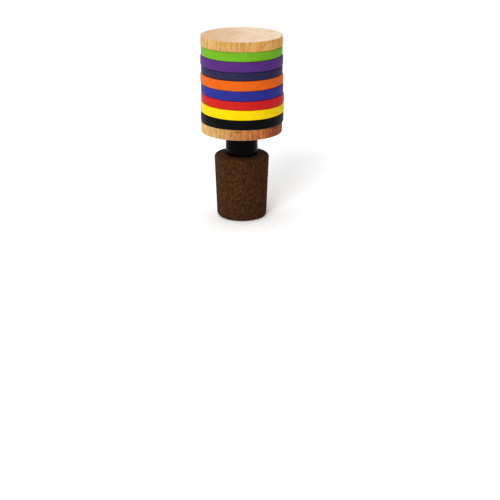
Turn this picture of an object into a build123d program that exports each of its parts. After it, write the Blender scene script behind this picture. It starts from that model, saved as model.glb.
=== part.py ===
"""A turned wooden stopper: a beech head that carries eight coloured marker bands in a groove, a
black moulded stem and a tapered cork plug.

Millimetres, +Z up along the turning axis. The origin is the centre of the cork's lower end.
"""

import os
from math import radians, tan

from build123d import *

# Cork plug
cork_length = 24.0
cork_top_diameter = 20.5
cork_end_diameter = 18.6
cork_top_rounding = 1.1
cork_end_rounding = 1.5

# Stem: the neck that shows, and the tenons that hide in the cork and in the head
neck_diameter = 12.0
neck_length = 8.8
neck_rounding = 0.6
tenon_diameter = 8.0
cork_tenon_length = 12.0
head_tenon_length = 12.0
tenon_chamfer = 0.6

# Blind bores for the tenons, drilled with an ordinary twist drill
glue_gap = 0.05
glue_pocket = 0.8
drill_point_angle = 118.0
bore_mouth_chamfer = 0.4

# Wooden head: foot, groove and cap, turned from one piece
head_diameter = 30.0
cap_height = 3.73
foot_height = 3.9
groove_depth = 2.5
cap_rim_easing = 0.3
foot_rim_easing = 0.4
groove_rim_easing = 0.15

# Marker bands, stretched over the core of the groove and pressed side by side
band_gap = 0.04
band_seat = 0.02
band_lip_rounding = 0.45

# Each band from the cap down: its colour, its height as seated, how far it stands proud of the
# wood, and how far its outside is pulled to the +X side by uneven stretch
bands = [
    ("green", 3.46, -0.06, 0.00),
    ("purple", 3.70, 0.17, 0.00),
    ("navy", 3.01, -0.03, 0.05),
    ("orange", 3.56, 0.22, 0.05),
    ("blue", 3.69, 0.17, 0.15),
    ("red", 3.24, 0.28, 0.32),
    ("yellow", 3.60, 0.42, 0.22),
    ("black", 3.56, 0.33, 0.18),
]

# Heights along the axis that follow from the sizes above
groove_height = sum(height for _, height, _, _ in bands) + (len(bands) + 1) * band_gap
head_bottom = cork_length + neck_length
groove_bottom = head_bottom + foot_height
groove_top = groove_bottom + groove_height
head_length = foot_height + groove_height + cap_height

head_radius = head_diameter / 2
core_radius = head_radius - groove_depth
tenon_radius = tenon_diameter / 2
bore_radius = tenon_radius + glue_gap


def section_plane(height):
    """The upright plane through the axis, with its own origin on the axis at a height."""
    return Plane(origin=(0, 0, height), x_dir=(1, 0, 0), z_dir=(0, -1, 0))


def bore_section(depth, plane, direction):
    """Half the section of a blind bore with a chamfered mouth and a drill point.

    The plane's origin is at the bore's mouth. The bore runs up where the direction is 1, and down
    where it is -1.
    """
    point_depth = depth + bore_radius / tan(radians(drill_point_angle / 2))
    mouth_radius = bore_radius + bore_mouth_chamfer
    with BuildSketch(plane) as section:
        with BuildLine():
            Polyline(
                (0, 0),
                (mouth_radius, 0),
                (bore_radius, direction * bore_mouth_chamfer),
                (bore_radius, direction * depth),
                (0, direction * point_depth),
                close=True,
            )
        make_face()
    return section.sketch.faces()


os.makedirs("parts", exist_ok=True)

# Cork plug: a tapered cylinder with rounded ends, bored from its top
with BuildPart() as cork:
    with BuildSketch(section_plane(0)):
        with BuildLine():
            Polyline(
                (0, 0),
                (cork_end_diameter / 2, 0),
                (cork_top_diameter / 2, cork_length),
                (0, cork_length),
                close=True,
            )
        make_face()
    revolve(axis=Axis.Z)
    cork_rims = cork.edges().filter_by(GeomType.CIRCLE).sort_by(Axis.Z)
    fillet(cork_rims[0], radius=cork_end_rounding)
    fillet(cork_rims[-1], radius=cork_top_rounding)
    cork_bore = bore_section(cork_tenon_length + glue_pocket, section_plane(cork_length), -1)
    revolve(cork_bore, axis=Axis.Z, mode=Mode.SUBTRACT)
cork.part.label = "cork"
export_step(cork.part, "parts/cork.step")

# Stem: one moulding, a rounded neck between two chamfered tenons
with BuildPart() as stem:
    with BuildSketch(Plane.XY.offset(cork_length)):
        Circle(neck_diameter / 2)
    extrude(amount=neck_length)
    fillet(stem.edges().filter_by(GeomType.CIRCLE), radius=neck_rounding)
    with BuildSketch(Plane.XY.offset(cork_length)):
        Circle(tenon_radius)
    extrude(amount=-cork_tenon_length)
    with BuildSketch(Plane.XY.offset(head_bottom)):
        Circle(tenon_radius)
    extrude(amount=head_tenon_length)
    tenon_ends = stem.edges().filter_by(GeomType.CIRCLE).sort_by(Axis.Z)
    chamfer([tenon_ends[0], tenon_ends[-1]], length=tenon_chamfer)
stem.part.label = "stem"
export_step(stem.part, "parts/stem.step")

# Head: a turned cylinder with a wide flat groove, bored from below
with BuildPart() as head:
    with BuildSketch(section_plane(head_bottom)):
        Rectangle(head_radius, head_length, align=(Align.MIN, Align.MIN))
        with Locations((core_radius, foot_height)):
            Rectangle(
                groove_depth,
                groove_height,
                align=(Align.MIN, Align.MIN),
                mode=Mode.SUBTRACT,
            )
    revolve(axis=Axis.Z)
    rims = head.edges().filter_by(GeomType.CIRCLE).group_by(SortBy.RADIUS)[-1].sort_by(Axis.Z)
    fillet(rims[0], radius=foot_rim_easing)
    fillet(rims[1:3], radius=groove_rim_easing)
    fillet(rims[-1], radius=cap_rim_easing)
    head_bore = bore_section(head_tenon_length + glue_pocket, section_plane(head_bottom), 1)
    revolve(head_bore, axis=Axis.Z, mode=Mode.SUBTRACT)
head.part.label = "head"
export_step(head.part, "parts/head.step")

# Marker bands: one ring each, laid into the groove from the cap down
seat = groove_top
for colour, height, proud, pull in bands:
    seat -= band_gap + height
    outer_radius = head_radius + proud
    inner_radius = core_radius + band_seat
    with BuildPart() as band:
        with BuildSketch(Plane.XY.offset(seat)):
            with Locations((pull, 0)):
                Circle(outer_radius)
            Circle(inner_radius, mode=Mode.SUBTRACT)
        extrude(amount=height)
        lips = band.edges().filter_by(GeomType.CIRCLE).group_by(SortBy.RADIUS)[-1]
        fillet(lips, radius=band_lip_rounding)
    band.part.label = f"band_{colour}"
    export_step(band.part, f"parts/band_{colour}.step")
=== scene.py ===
"""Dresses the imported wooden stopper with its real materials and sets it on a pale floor."""

import itertools
import math

import bpy
import numpy as np
from mathutils import Matrix, Vector


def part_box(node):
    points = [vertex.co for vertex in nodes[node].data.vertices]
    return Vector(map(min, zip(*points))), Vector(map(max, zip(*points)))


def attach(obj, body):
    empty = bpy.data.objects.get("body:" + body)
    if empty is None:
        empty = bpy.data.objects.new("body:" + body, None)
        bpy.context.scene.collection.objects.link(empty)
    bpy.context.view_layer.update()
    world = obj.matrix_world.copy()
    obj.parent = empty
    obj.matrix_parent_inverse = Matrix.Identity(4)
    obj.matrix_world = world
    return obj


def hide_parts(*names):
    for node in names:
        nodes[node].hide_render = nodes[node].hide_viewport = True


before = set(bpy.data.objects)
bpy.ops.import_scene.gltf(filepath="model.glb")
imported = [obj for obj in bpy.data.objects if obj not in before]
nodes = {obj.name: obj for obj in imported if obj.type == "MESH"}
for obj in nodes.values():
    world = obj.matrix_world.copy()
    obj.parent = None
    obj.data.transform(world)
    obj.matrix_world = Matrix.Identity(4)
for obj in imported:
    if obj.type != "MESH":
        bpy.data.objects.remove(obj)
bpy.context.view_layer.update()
scene = bpy.context.scene

# Lengths below are in millimetres unless a comment says metres
MM = 0.001

# Marker bands: the hidden inside, the rounded lips and the slightly crowned outside
BAND_INNER_RADIUS = 12.56
BAND_FACE_RADIUS = 13.6
BAND_LIP = 0.45
BAND_CROWN = 0.03
BAND_CLEARANCE = 0.002
BAND_POINTS = 288
LIP_POINTS = 8
CROWN_SHARES = (0.17, 0.34, 0.5, 0.66, 0.83)
WOBBLE_WAVES = (2, 3, 5, 8, 13)
WOBBLE_LEAST, WOBBLE_MOST = 0.003, 0.010
WOBBLE_LAST_PHASE = 6.28

# How far each seam between the bands strays, from the cap down: all round, to one side, and as a
# saddle. The first and the last meet the wood and are level.
LEVEL = (0.0, 0.0, 0.0)
SEAMS = (
    LEVEL,
    (0.06, 0.02, 0.075),
    (0.05, -0.045, 0.065),
    (0.055, -0.045, 0.075),
    (0.025, 0.01, 0.135),
    (0.085, -0.11, 0.155),
    (0.025, -0.18, 0.05),
    (0.07, -0.05, 0.12),
    LEVEL,
)

# Cork plug: its outline, and the bore that hides the stem's tenon
CORK_LENGTH = 24.0
CORK_END_RADIUS = 9.3
CORK_TOP_RADIUS = 10.25
CORK_END_ROUNDING = 1.5
CORK_TOP_ROUNDING = 1.1
BORE_RADIUS = 4.05
BORE_MOUTH_RADIUS = 4.45
BORE_MOUTH_DEPTH = 0.4
BORE_WALL_END = 11.2
BORE_TIP = 8.78
TIP_RADIUS = 0.02
CORK_STEP = 0.19
CORK_POINTS = 400

# Cork skin: granules, the glue seams between them, and open pits
GRANULE_SIZE = 0.62
GLUE_SEAM_WIDTH = 0.14
GLUE_SEAM_DEPTH = 0.05
GRANULE_DEPTH = 0.05
PIT_SPACING = 1.9
PIT_SHIFT = (0.3, 0.7, 0.1)
PIT_RADIUS = 0.22
PIT_RADIUS_SPREAD = 0.30
PIT_STEEPNESS = 1.6
PIT_RARITY = 0.6
PIT_DEPTH = 0.22
GRANULE_SEED = 11
PIT_SEED = 77

# Large whole numbers that scatter the address of a cell
CELL_FACTORS = (73856093, 19349663, 83492791)
SALT_FACTOR = 40503
MIX_FACTORS = (2654435761, 2246822519, 3266489917)
LOW_32_BITS = 0xFFFFFFFF
LOW_16_BITS = 0xFFFF

# Wood: the pith lies outside the piece, behind it to the left, and painted shade darkens the foot
PITH = (-34, 27, 0)
RING_WIDTH = 1.7
# Where the painted shade at the foot begins, and where it is full
FOOT_SHADE_TOP = 40.0
FOOT_SHADE_FULL = 36.5

# Stage and camera, in metres
FLOOR_RADIUS = 6
FLOOR_POINTS = 96
KEY_PLACE = (-0.60, -1.93, 1.50)
KEY_TARGET = (0, 0, 0.04)
KEY_SIZE = 1.0
KEY_POWER = 30.0
CAMERA_PLACE = (0.00316, -0.4475, 0.15078)
CAMERA_DIP = 20.29
CAMERA_ROLL = 0.10
CAMERA_LENS = 89.1


# Node graphs


class Look:
    """A material with a Principled shader, and short calls that add the nodes feeding it."""

    def __init__(self, name):
        self.material = bpy.data.materials.new(name)
        self.material.use_nodes = True
        self.tree = self.material.node_tree
        self.tree.nodes.clear()
        output = self.tree.nodes.new("ShaderNodeOutputMaterial")
        self.shader = self.tree.nodes.new("ShaderNodeBsdfPrincipled")
        self.tree.links.new(self.shader.outputs[0], output.inputs[0])

    def put(self, socket, value):
        if isinstance(value, bpy.types.NodeSocket):
            self.tree.links.new(value, socket)
        else:
            socket.default_value = value

    def node(self, kind, inputs, **settings):
        made = self.tree.nodes.new("ShaderNode" + kind)
        for key, value in settings.items():
            setattr(made, key, value)
        for key, value in inputs.items():
            self.put(made.inputs[key], value)
        return made

    def set(self, **sockets):
        for key, value in sockets.items():
            self.put(self.shader.inputs[key.replace("_", " ")], value)

    def millimetres(self):
        """The place on the object in millimetres, from the frame's origin."""
        place = self.node("TexCoord", {}).outputs["Object"]
        return self.vector("MULTIPLY", place, (1000, 1000, 1000))

    def vector(self, operation, a, b):
        return self.node("VectorMath", {0: a, 1: b}, operation=operation).outputs[0]

    def dot(self, a, b):
        return self.node("VectorMath", {0: a, 1: b}, operation="DOT_PRODUCT").outputs["Value"]

    def length(self, a):
        return self.node("VectorMath", {0: a}, operation="LENGTH").outputs["Value"]

    def math(self, operation, a, b=0.0):
        return self.node("Math", {0: a, 1: b}, operation=operation).outputs[0]

    def parts(self, vector):
        split = self.node("SeparateXYZ", {0: vector})
        return split.outputs[0], split.outputs[1], split.outputs[2]

    def noise(self, place, scale, detail=2.0, roughness=0.5, squeeze=None, output="Fac"):
        """Noise with its pattern squeezed along each axis by a factor; below 1, it is drawn out."""
        if squeeze:
            place = self.vector("MULTIPLY", place, squeeze)
        inputs = {"Vector": place, "Scale": scale, "Detail": detail, "Roughness": roughness}
        return self.node("TexNoise", inputs).outputs[output]

    def attribute(self, name):
        return self.node("Attribute", {}, attribute_name=name).outputs["Fac"]

    def between(self, value, low, high, to_low=0.0, to_high=1.0):
        """Takes a value smoothly from one range to another, held at its ends."""
        ends = {"From Min": low, "From Max": high, "To Min": to_low, "To Max": to_high}
        made = self.node("MapRange", {"Value": value, **ends}, interpolation_type="SMOOTHSTEP")
        return made.outputs[0]

    def line(self, place, start, end, width):
        """1 in the middle of a soft line drawn on the flat, 0 at its ends and away from it."""
        start, end = Vector((*start, 0)), Vector((*end, 0))
        along = (end - start).normalized()
        aside = Vector((-along.y, along.x, 0))
        away = self.vector("SUBTRACT", place, (start + end) / 2)
        ahead = self.math("ABSOLUTE", self.dot(away, along))
        off = self.math("ABSOLUTE", self.dot(away, aside))
        half = (end - start).length / 2
        return self.math("MULTIPLY", self.between(ahead, half, 0), self.between(off, width / 2, 0))

    def ramp(self, value, *stops):
        made = self.node("ValToRGB", {0: value})
        elements = made.color_ramp.elements
        while len(elements) < len(stops):
            elements.new(0.5)
        for element, (at, colour) in zip(elements, stops):
            element.position = at
            element.color = (*colour, 1)
        return made.outputs[0]

    def mix(self, share, a, b, blend="MIX"):
        made = self.node("Mix", {0: share}, data_type="RGBA", blend_type=blend)
        for socket, value in ((made.inputs[6], a), (made.inputs[7], b)):
            self.put(socket, (*value, 1) if isinstance(value, tuple) else value)
        return made.outputs[2]

    def stain(self, under, *layers):
        """Lays colours over one another, each where its mask says and at most by its share."""
        for mask, share, colour in layers:
            under = self.mix(self.math("MULTIPLY", mask, share), under, colour)
        return under

    def bump(self, height, depth):
        inputs = {"Height": height, "Strength": 1.0, "Distance": depth * MM}
        return self.node("Bump", inputs).outputs[0]


def srgb(red, green, blue):
    """A colour as the eye reads it, 0 to 255, made linear for the shader."""
    parts = (channel / 255 for channel in (red, green, blue))
    return tuple(c / 12.92 if c <= 0.04045 else ((c + 0.055) / 1.055) ** 2.4 for c in parts)


# Materials


def beech():
    """Turned beech: streaked long grain round the side, and pale end grain on the flats."""
    look = Look("turned_beech")
    place = look.millimetres()
    x, _, z = look.parts(place)

    # Growth rings round the pith, gently bent, with the late wood darker
    sway = look.noise(place, 1.0, detail=1.0, squeeze=(0.11, 0.11, 0.03), output="Color")
    bent = look.vector("ADD", place, look.vector("MULTIPLY", sway, (3.0, 3.0, 0.0)))
    from_pith = look.vector("MULTIPLY", look.vector("SUBTRACT", bent, PITH), (1, 1, 0))
    distance = look.length(from_pith)
    ring = look.math("FRACT", look.math("DIVIDE", distance, RING_WIDTH))
    late = look.math("MULTIPLY", look.between(ring, 0.35, 0.95), look.between(ring, 1.0, 0.95))

    # Long streaks, short dark dashes, amber patches and fine fibres along the grain
    streak = look.noise(place, 1.3, detail=3.0, roughness=0.6, squeeze=(1.0, 1.0, 0.09))
    streak = look.between(streak, 0.50, 0.68)
    dash = look.between(look.noise(place, 2.4, squeeze=(1.0, 1.0, 0.26)), 0.56, 0.67)
    amber = look.between(look.noise(place, 0.6, squeeze=(1.0, 1.0, 0.35)), 0.48, 0.60)
    fibre = look.noise(place, 1.0, squeeze=(5.0, 5.0, 0.35))
    side = look.ramp(
        fibre,
        (0.30, srgb(189, 148, 94)),
        (0.50, srgb(203, 163, 108)),
        (0.72, srgb(216, 178, 126)),
    )
    side = look.stain(
        side,
        (late, 0.45, srgb(174, 128, 70)),
        (amber, 0.35, srgb(213, 161, 87)),
        (streak, 0.62, srgb(160, 108, 52)),
        (dash, 0.60, srgb(140, 87, 40)),
    )

    # Painted light across the side: paler and cooler at the far left, where the key light washes
    # it, and warmer and brighter to the right, to lift the shade there
    painted_light = look.mix(look.between(x, -6.0, 14.0), (0.92, 0.92, 0.84), (1.22, 1.13, 0.84))
    painted_light = look.mix(look.between(x, -7.0, -13.0), painted_light, (1.04, 1.12, 1.16))
    side = look.mix(1.0, side, painted_light, "MULTIPLY")

    # Painted shade at the foot: redder and darker towards the bottom, more so to the right, with
    # darker veins of the grain laid into it
    low = look.between(z, FOOT_SHADE_TOP, FOOT_SHADE_FULL)
    foot_shade = look.math("MULTIPLY", low, look.between(x, -9.0, 2.0))
    side = look.mix(foot_shade, side, (0.80, 0.56, 0.55), "MULTIPLY")
    foot_deep_shade = look.math("MULTIPLY", low, look.between(x, 6.0, 12.5))
    side = look.mix(foot_deep_shade, side, (0.52, 0.33, 0.36), "MULTIPLY")
    vein = look.between(look.noise(place, 1.5, squeeze=(1.0, 1.0, 0.12)), 0.46, 0.64)
    marked = look.math("MULTIPLY", foot_shade, look.math("MAXIMUM", vein, dash))
    side = look.stain(side, (marked, 0.62, srgb(132, 66, 36)))

    # End grain: faint rings, rays that point to the pith, cloudy patches and fine pores
    across, along, _ = look.parts(from_pith)
    turn = look.math("MULTIPLY", look.math("ARCTAN2", along, across), 46.0)
    fan = look.node("CombineXYZ", {0: turn, 1: look.math("MULTIPLY", distance, 0.2)}).outputs[0]
    ray = look.between(look.noise(fan, 1.1, detail=0.0), 0.68, 0.80)
    fine_ray = look.between(look.noise(fan, 3.4, detail=1.0), 0.50, 0.70)
    mottle = look.between(look.noise(place, 0.30), 0.38, 0.62)
    pores = look.between(look.noise(place, 3.2), 0.52, 0.66)
    end = look.mix(look.between(x, -14.0, 8.0), srgb(200, 167, 127), srgb(221, 206, 183))
    end = look.stain(
        end,
        (mottle, 0.38, srgb(204, 158, 118)),
        (late, 0.40, srgb(190, 152, 116)),
        (fine_ray, 0.25, srgb(184, 144, 106)),
        (ray, 0.30, srgb(170, 128, 92)),
    )

    # Three darker rays near the middle, frayed by stirring the place that they are drawn from
    stir = look.noise(place, 1.4, detail=3.0, output="Color")
    stir = look.vector("SUBTRACT", stir, (0.5, 0.5, 0.5))
    stirred = look.vector("ADD", place, look.vector("MULTIPLY", stir, (1.8, 1.8, 0.0)))
    for start, stop, share in (
        ((-7.0, 5.8), (-0.6, -1.3), 0.85),
        ((-3.4, 5.6), (0.2, 3.3), 0.60),
        ((-6.8, -0.3), (-2.8, -3.4), 0.60),
    ):
        dark_ray = look.line(stirred, start, stop, 1.5)
        end = look.stain(end, (dark_ray, share, srgb(154, 108, 70)))
    end = look.stain(end, (pores, 0.25, srgb(182, 140, 102)))

    _, _, up = look.parts(look.node("NewGeometry", {}).outputs["Normal"])
    flat = look.between(look.math("ABSOLUTE", up), 0.55, 0.85)
    side_relief = look.math("ADD", look.math("MULTIPLY", dash, -0.6), fibre)
    end_relief = look.math("MULTIPLY", pores, -1.0)
    relief = look.node("Mix", {0: flat, 2: side_relief, 3: end_relief}).outputs[0]
    look.set(
        Base_Color=look.mix(flat, side, end),
        Roughness=look.between(fibre, 0.3, 0.7, 0.50, 0.62),
        Normal=look.bump(relief, 0.02),
        Specular_IOR_Level=0.2,
    )
    return look.material


def silicone(colour_name, colour, deep):
    """Satin moulded silicone with a slightly uneven, faintly dusty skin."""
    look = Look("silicone_" + colour_name)
    place = look.millimetres()
    cloud = look.noise(place, 0.35, detail=3.0)
    grain = look.noise(place, 9.0)
    look.set(
        Base_Color=look.mix(look.between(cloud, 0.35, 0.65), deep, colour),
        Roughness=look.between(grain, 0.3, 0.7, 0.42, 0.54),
        Normal=look.bump(look.math("ADD", grain, look.math("MULTIPLY", cloud, 2.0)), 0.006),
        Specular_IOR_Level=0.1,
    )
    return look.material


def black_plastic():
    """Glossy moulded plastic with a faint ripple."""
    look = Look("black_plastic")
    place = look.millimetres()
    ripple = look.noise(place, 0.5)
    scuff = look.noise(place, 2.5, detail=4.0, squeeze=(1, 1, 4))
    look.set(
        Base_Color=look.ramp(scuff, (0.3, (0.001, 0.001, 0.001)), (0.8, (0.004, 0.004, 0.004))),
        Roughness=look.between(scuff, 0.35, 0.75, 0.05, 0.13),
        Normal=look.bump(ripple, 0.02),
        Specular_IOR_Level=0.06,
    )
    return look.material


def agglomerated_cork():
    """Pressed granules in several browns, with dark glue seams, and open pits with painted shade in
    them.
    """
    look = Look("agglomerated_cork")
    tone = look.attribute("tone")
    cell = look.noise(look.millimetres(), 7.0, detail=3.0, roughness=0.7)
    speck = look.math("MULTIPLY", look.math("SUBTRACT", cell, 0.5), 0.5)
    colour = look.ramp(
        look.math("ADD", tone, speck),
        (0.00, srgb(57, 36, 18)),
        (0.35, srgb(70, 44, 23)),
        (0.70, srgb(79, 50, 26)),
        (1.00, srgb(93, 61, 33)),
    )
    # Dark glue seams, and painted shade in the open pits on top of their modelled depth
    colour = look.stain(
        colour,
        (look.attribute("seam"), 0.4, srgb(44, 27, 14)),
        (look.attribute("pit"), 0.85, srgb(20, 11, 6)),
    )
    look.set(
        Base_Color=colour,
        Roughness=look.between(cell, 0.3, 0.7, 0.78, 0.92),
        Normal=look.bump(cell, 0.05),
        Specular_IOR_Level=0.1,
    )
    return look.material


# Each marker band from the cap down: its colour, and the deeper shade of its clouds
SILICONES = {
    "green": (srgb(115, 171, 41), srgb(110, 166, 39)),
    "purple": (srgb(89, 50, 121), srgb(85, 47, 116)),
    "navy": (srgb(50, 48, 81), srgb(46, 44, 75)),
    "orange": (srgb(213, 103, 28), srgb(208, 99, 25)),
    "blue": (srgb(49, 54, 139), srgb(46, 51, 133)),
    "red": (srgb(192, 40, 36), srgb(186, 37, 34)),
    "yellow": (srgb(234, 202, 6), srgb(229, 196, 5)),
    "black": (srgb(12, 12, 12), srgb(9, 9, 9)),
}


# Meshes


def place_piece(name, mesh):
    piece = bpy.data.objects.new(name, mesh)
    scene.collection.objects.link(piece)
    return piece


def turned(name, rings, closed):
    """A mesh from rings of points round the axis, each with the same number of points.

    A closed one joins its last ring to its first. Otherwise a fan to one point on the axis closes
    each end.
    """
    points = np.concatenate(rings)
    around = len(rings[0])
    count = len(rings)
    step = np.arange(around)
    after = (step + 1) % around
    faces = []
    for ring in range(count if closed else count - 1):
        here = ring * around
        there = ((ring + 1) % count) * around
        faces.append(np.stack([here + step, here + after, there + after, there + step], 1))
    faces = np.concatenate(faces).tolist()
    if not closed:
        centres = [[0, 0, rings[0][0][2]], [0, 0, rings[-1][0][2]]]
        points = np.concatenate([points, centres])
        first_centre = count * around
        last_centre = first_centre + 1
        last_ring = first_centre - around
        for a, b in zip(step.tolist(), after.tolist()):
            faces.append([first_centre, b, a])
        for a, b in zip(step.tolist(), after.tolist()):
            faces.append([last_centre, last_ring + a, last_ring + b])
    mesh = bpy.data.meshes.new(name)
    mesh.from_pydata((points * MM).tolist(), [], faces)
    mesh.validate()
    mesh.polygons.foreach_set("use_smooth", [True] * len(mesh.polygons))
    mesh.update()
    return place_piece(name, mesh)


def stray(seam, angle):
    all_round, sideways, saddle = seam
    return all_round + sideways * np.cos(angle) + saddle * np.cos(2 * angle)


def band_piece(colour_name, order):
    """A stretched ring with rounded lips and a slightly crowned, uneven outside."""
    low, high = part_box("band_" + colour_name)
    radius = (high.y - low.y) / 2 / MM
    pull = (high.x + low.x) / 2 / MM
    angle = np.linspace(0, 2 * math.pi, BAND_POINTS, endpoint=False)
    top = high.z / MM + stray(SEAMS[order], angle)
    bottom = low.z / MM + stray(SEAMS[order + 1], angle)
    rng = np.random.default_rng(order)
    wobble = np.zeros_like(angle)
    for wave in WOBBLE_WAVES:
        height = rng.uniform(WOBBLE_LEAST, WOBBLE_MOST)
        wobble += height * np.cos(wave * angle + rng.uniform(0, WOBBLE_LAST_PHASE))
    outer = radius - BAND_CLEARANCE - BAND_CROWN + wobble - wobble.max()
    wall = (top - bottom) - 2 * BAND_LIP
    turns = np.linspace(0, math.pi / 2, LIP_POINTS)
    rings = []

    def ring(r, z, shift):
        rings.append(np.stack([shift + r * np.cos(angle), r * np.sin(angle), z], 1))

    for r in (BAND_INNER_RADIUS, BAND_FACE_RADIUS):
        ring(np.full_like(angle, r), bottom, 0)
    for turn in turns:
        lip_height = BAND_LIP - BAND_LIP * np.cos(turn)
        ring(outer - BAND_LIP + BAND_LIP * np.sin(turn), bottom + lip_height, pull)
    for share in CROWN_SHARES:
        crown = BAND_CROWN * math.sin(math.pi * share)
        ring(outer + crown, bottom + BAND_LIP + wall * share, pull)
    for turn in turns[::-1]:
        lip_height = BAND_LIP - BAND_LIP * np.cos(turn)
        ring(outer - BAND_LIP + BAND_LIP * np.sin(turn), top - lip_height, pull)
    for r in (BAND_FACE_RADIUS, BAND_INNER_RADIUS):
        ring(np.full_like(angle, r), top, 0)
    piece = turned("marker_band_" + colour_name, rings, closed=True)
    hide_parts("band_" + colour_name)
    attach(piece, "root")
    return piece


def scattered(cell, seed):
    """Four even random numbers from 0 to 1 for each cell of a grid, always the same ones."""
    fx, fy, fz = CELL_FACTORS
    mixed = cell[:, 0] * fx ^ cell[:, 1] * fy ^ cell[:, 2] * fz ^ seed
    numbers = []
    for salt in (1, 2, 3, 4):
        h = (mixed * MIX_FACTORS[0] + salt * SALT_FACTOR) & LOW_32_BITS
        h = ((h >> 15) ^ h) * MIX_FACTORS[1] & LOW_32_BITS
        h = ((h >> 13) ^ h) * MIX_FACTORS[2] & LOW_32_BITS
        numbers.append(((h >> 16) & LOW_16_BITS) / LOW_16_BITS)
    return numbers


def nearest_cells(points, size, seed):
    """How far the nearest and the second nearest of scattered centres are from each point.

    The third result is a random number from 0 to 1 that belongs to the nearest centre.
    """
    grid = np.floor(points / size).astype(np.int64)
    first = np.full(len(points), 1e9)
    second = np.full(len(points), 1e9)
    chosen = np.zeros(len(points))
    for offset in itertools.product((-1, 0, 1), repeat=3):
        cell = grid + offset
        numbers = scattered(cell, seed)
        centre = (cell + np.stack(numbers[:3], 1)) * size
        away = np.linalg.norm(points - centre, axis=1)
        nearer = away < first
        second = np.where(nearer, first, np.minimum(second, away))
        chosen = np.where(nearer, numbers[3], chosen)
        first = np.where(nearer, away, first)
    return first, second, chosen


def straight(start, end):
    """Points from start up to, but not at, end."""
    start, end = np.array(start, float), np.array(end, float)
    count = max(1, int(np.linalg.norm(end - start) / CORK_STEP))
    return [start + (end - start) * share for share in np.linspace(0, 1, count, endpoint=False)]


def arc(centre, radius, start, end):
    """Points on an arc from one angle up to, but not at, another."""
    count = max(2, int(radius * abs(end - start) / CORK_STEP))
    turns = np.linspace(start, end, count, endpoint=False)
    return [centre + radius * np.array([math.cos(turn), math.sin(turn)]) for turn in turns]


def cork_profile():
    """Half the plug's section, from the middle of its end, over its outside and down its bore.

    The second result is the number of points on the outside.
    """
    lean = math.atan2(CORK_TOP_RADIUS - CORK_END_RADIUS, CORK_LENGTH)
    out = np.array([math.cos(lean), -math.sin(lean)])

    def rounding_centre(height, rounding):
        r = CORK_END_RADIUS + height * math.tan(lean) - rounding / math.cos(lean)
        return np.array([r, height])

    low = rounding_centre(CORK_END_ROUNDING, CORK_END_ROUNDING)
    high = rounding_centre(CORK_LENGTH - CORK_TOP_ROUNDING, CORK_TOP_ROUNDING)
    mouth = (BORE_MOUTH_RADIUS, CORK_LENGTH)
    outside = [
        *straight((TIP_RADIUS, 0), (low[0], 0)),
        *arc(low, CORK_END_ROUNDING, -math.pi / 2, -lean),
        *straight(low + CORK_END_ROUNDING * out, high + CORK_TOP_ROUNDING * out),
        *arc(high, CORK_TOP_ROUNDING, -lean, math.pi / 2),
        *straight((high[0], CORK_LENGTH), mouth),
    ]
    bore = [
        mouth,
        (BORE_RADIUS, CORK_LENGTH - BORE_MOUTH_DEPTH),
        (BORE_RADIUS, BORE_WALL_END),
        (TIP_RADIUS, BORE_TIP),
    ]
    return np.array(outside + [np.array(point) for point in bore]), len(outside)


def spun(section, angle):
    """Turns each (radius, height) of a section round the axis, as one list of points."""
    r = section[:, 0][:, None]
    z = np.broadcast_to(section[:, 1][:, None], (len(section), len(angle)))
    return np.stack([r * np.cos(angle), r * np.sin(angle), z], 2).reshape(-1, 3)


def cork_piece():
    """The plug, with every granule and pit modelled in its skin."""
    profile, outside = cork_profile()
    tangent = np.gradient(profile, axis=0)
    normal = np.stack([tangent[:, 1], -tangent[:, 0]], 1)
    normal /= np.linalg.norm(normal, axis=1)[:, None]
    angle = np.linspace(0, 2 * math.pi, CORK_POINTS, endpoint=False)
    points = spun(profile, angle)

    first, second, tone = nearest_cells(points, GRANULE_SIZE, GRANULE_SEED)
    seam = np.clip(1 - (second - first) / GLUE_SEAM_WIDTH, 0, 1)
    to_pit, _, pick = nearest_cells(points + PIT_SHIFT, PIT_SPACING, PIT_SEED)
    pit_radius = PIT_RADIUS + PIT_RADIUS_SPREAD * ((pick * 37.0) % 1.0)
    pit = np.clip(PIT_STEEPNESS * (1 - to_pit / pit_radius), 0, 1) * (pick > PIT_RARITY)
    sunk = GLUE_SEAM_DEPTH * seam + GRANULE_DEPTH * (1 - tone) + PIT_DEPTH * pit
    sunk[outside * CORK_POINTS :] = 0
    moved = points - spun(normal, angle) * sunk[:, None]
    moved[:, 2] = np.maximum(moved[:, 2], 0.0)

    rings = list(moved.reshape(len(profile), CORK_POINTS, 3))
    piece = turned("cork_plug_skin", rings, closed=False)
    for name, values in (("tone", tone), ("seam", seam), ("pit", pit)):
        layer = piece.data.attributes.new(name, "FLOAT", "POINT")
        values = np.concatenate([values, values[[0, -1]]])
        layer.data.foreach_set("value", values.astype(np.float32))
    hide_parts("cork")
    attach(piece, "root")
    return piece


def wear(piece, material):
    piece.data.materials.clear()
    piece.data.materials.append(material)


for order, (colour_name, (colour, deep)) in enumerate(SILICONES.items()):
    wear(band_piece(colour_name, order), silicone(colour_name, colour, deep))
wear(cork_piece(), agglomerated_cork())
wear(nodes["head"], beech())
wear(nodes["stem"], black_plastic())


# Stage, light and camera


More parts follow.
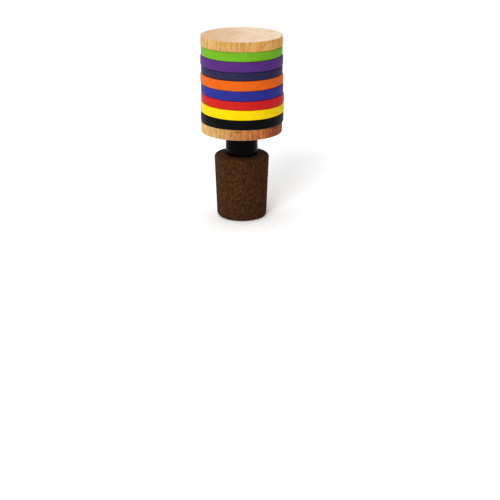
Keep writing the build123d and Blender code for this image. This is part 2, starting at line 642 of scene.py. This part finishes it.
def floor():
    angle = np.linspace(0, 2 * math.pi, FLOOR_POINTS, endpoint=False)
    rim = np.stack([FLOOR_RADIUS * np.cos(angle), FLOOR_RADIUS * np.sin(angle), 0 * angle], 1)
    mesh = bpy.data.meshes.new("floor")
    mesh.from_pydata(rim.tolist(), [], [list(range(FLOOR_POINTS))])
    piece = place_piece("floor", mesh)
    look = Look("pale_floor")
    look.set(Base_Color=(0.88, 0.88, 0.88, 1), Roughness=0.9, Specular_IOR_Level=0.1)
    wear(piece, look.material)


def sky():
    """A white room that is bright above, behind and to the left, and dim in front to the right."""
    world = bpy.data.worlds.new("studio")
    scene.world = world
    world.use_nodes = True
    tree = world.node_tree
    background = tree.nodes["Background"]
    background.inputs["Color"].default_value = (1, 1, 1, 1)
    direction = tree.nodes.new("ShaderNodeTexCoord")
    lean = tree.nodes.new("ShaderNodeVectorMath")
    lean.operation = "DOT_PRODUCT"
    lean.inputs[1].default_value = (-0.5, 0.5, 0.7)
    strength = tree.nodes.new("ShaderNodeMapRange")
    strength.interpolation_type = "SMOOTHSTEP"
    for name, value in (("From Min", -0.4), ("From Max", 0.5), ("To Min", 0.05), ("To Max", 1.0)):
        strength.inputs[name].default_value = value
    tree.links.new(direction.outputs["Generated"], lean.inputs[0])
    tree.links.new(lean.outputs["Value"], strength.inputs["Value"])
    tree.links.new(strength.outputs[0], background.inputs["Strength"])


def key_light():
    """A large round softbox, high in front of the stopper and to the left."""
    data = bpy.data.lights.new("key", "AREA")
    data.shape = "DISK"
    data.size = KEY_SIZE
    data.energy = KEY_POWER
    lamp = bpy.data.objects.new("key", data)
    lamp.location = KEY_PLACE
    toward = Vector(KEY_TARGET) - Vector(KEY_PLACE)
    lamp.rotation_euler = toward.to_track_quat("-Z", "Y").to_euler()
    scene.collection.objects.link(lamp)


def camera():
    """A long lens that looks down on the stopper from in front."""
    data = bpy.data.cameras.new("camera")
    data.lens = CAMERA_LENS
    data.sensor_width = 36.0
    data.clip_start = 0.01
    data.clip_end = 20.0
    viewer = bpy.data.objects.new("camera", data)
    tilt = Matrix.Rotation(math.radians(90 - CAMERA_DIP), 4, "X")
    roll = Matrix.Rotation(math.radians(CAMERA_ROLL), 4, "Z")
    viewer.matrix_world = Matrix.Translation(CAMERA_PLACE) @ tilt @ roll
    scene.collection.objects.link(viewer)
    scene.camera = viewer


floor()
sky()
key_light()
camera()
scene.view_settings.view_transform = "Standard"
scene.view_settings.look = "Medium High Contrast"
